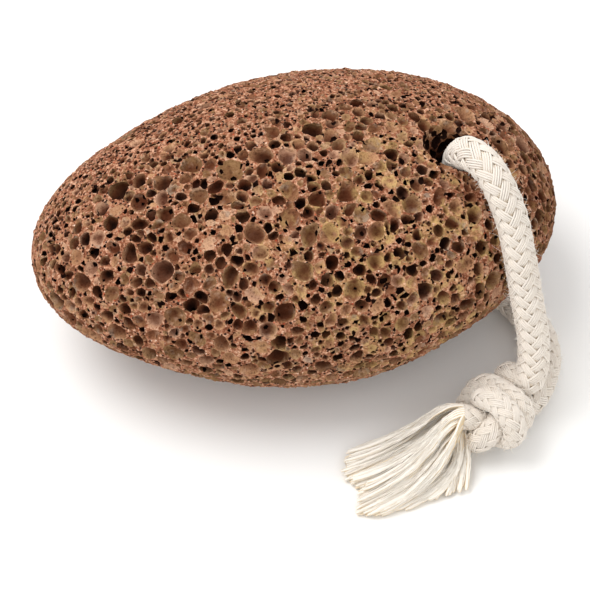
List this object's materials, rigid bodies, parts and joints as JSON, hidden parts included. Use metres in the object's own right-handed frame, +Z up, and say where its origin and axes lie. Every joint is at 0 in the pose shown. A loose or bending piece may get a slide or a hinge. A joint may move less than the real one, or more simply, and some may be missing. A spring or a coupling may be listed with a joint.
{
  "type": "pumice foot stone on a cord",
  "caption": "Egg-shaped lava pumice foot stone with a drilled end, a braided cotton cord through the hole, tied in a knot with a frayed tassel.",
  "frame": {"origin": "on the surface the stone rests on, under the middle of the stone's box without its cord", "axes": "+X along the stone's length towards its drilled end, +Z up through its thickness, -Y towards the knot"},
  "size_m": [0.1, 0.085, 0.0491],
  "materials": {
    "pumice": "raw vesicular lava, matt",
    "cotton_cord": "braided undyed cotton",
    "cotton_yarn": "loose undyed cotton yarn"
  },
  "bodies": {
    "root": {"stone": "pumice", "cord": "cotton_cord", "knot": "cotton_cord", "tassel": "cotton_yarn"}
  },
  "joints": []
}
